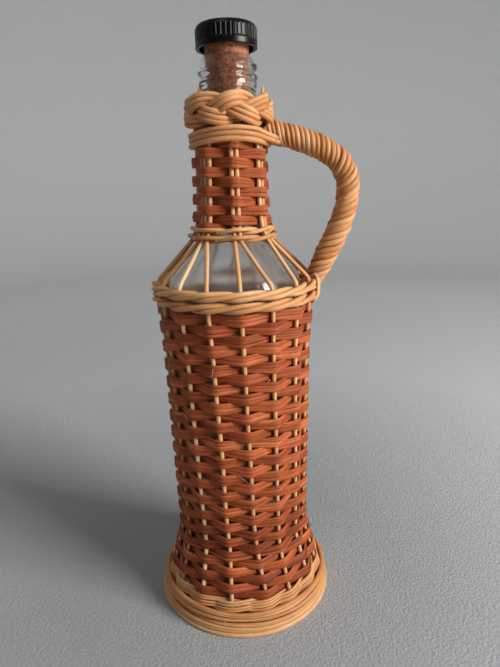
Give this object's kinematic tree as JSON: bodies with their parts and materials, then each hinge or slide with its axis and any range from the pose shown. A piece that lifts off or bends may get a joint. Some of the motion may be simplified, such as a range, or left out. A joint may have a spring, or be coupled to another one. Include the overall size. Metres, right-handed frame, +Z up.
{
  "type": "wicker-covered bottle",
  "caption": "Straight-sided clear glass bottle with a cork stopper, covered in two-tone woven cane with a plaited collar, a wound side handle and a round foot.",
  "frame": {"origin": "on the bottle's axis, in the plane that the foot stands on", "axes": "+Z up along the bottle's axis, +X from the axis towards the handle, +Y to the left of the handle as seen from outside it"},
  "size_m": [0.1162, 0.102, 0.3095],
  "materials": {
    "glass": "clear",
    "cork": "matte",
    "black_plastic": "gloss",
    "pale_cane": "satin",
    "dyed_cane": "satin"
  },
  "bodies": {
    "bottle": {"glass_bottle": "glass", "base_sticks_lower": "pale_cane", "base_sticks_upper": "pale_cane", "base_weave": "pale_cane", "foot_ring": "pale_cane", "foot_border": "pale_cane", "foot_twine_lower": "pale_cane", "foot_twine_upper": "pale_cane", "shoulder_wale_lower": "pale_cane", "shoulder_wale_upper": "pale_cane", "neck_band_lower": "pale_cane", "neck_band_upper": "pale_cane", "collar_winding": "pale_cane", "collar_plait_upper": "pale_cane", "collar_plait_lower": "pale_cane", "handle_core": "pale_cane", "handle_wrap": "pale_cane", "handle_tie": "pale_cane", "stake_01": "pale_cane", "stake_02": "pale_cane", "stake_03": "pale_cane", "stake_04": "pale_cane", "stake_05": "pale_cane", "stake_06": "pale_cane", "stake_07": "pale_cane", "stake_08": "pale_cane", "stake_09": "pale_cane", "stake_10": "pale_cane", "stake_11": "pale_cane", "stake_12": "pale_cane", "stake_13": "pale_cane", "stake_14": "pale_cane", "stake_15": "pale_cane", "stake_16": "pale_cane", "neck_weave": "dyed_cane", "weave_01": "dyed_cane", "weave_02": "dyed_cane", "weave_03": "dyed_cane", "weave_04": "dyed_cane", "weave_05": "dyed_cane", "weave_06": "dyed_cane", "weave_07": "dyed_cane", "weave_08": "dyed_cane", "weave_09": "dyed_cane", "weave_10": "dyed_cane", "weave_11": "dyed_cane"},
    "stopper": {"cork": "cork", "cap": "black_plastic"}
  },
  "joints": [
    {"name": "stopper_pull", "type": "slide", "parent": "bottle", "child": "stopper", "axis": [0, 0, 1], "range_m": [0, 0.03]}
  ]
}
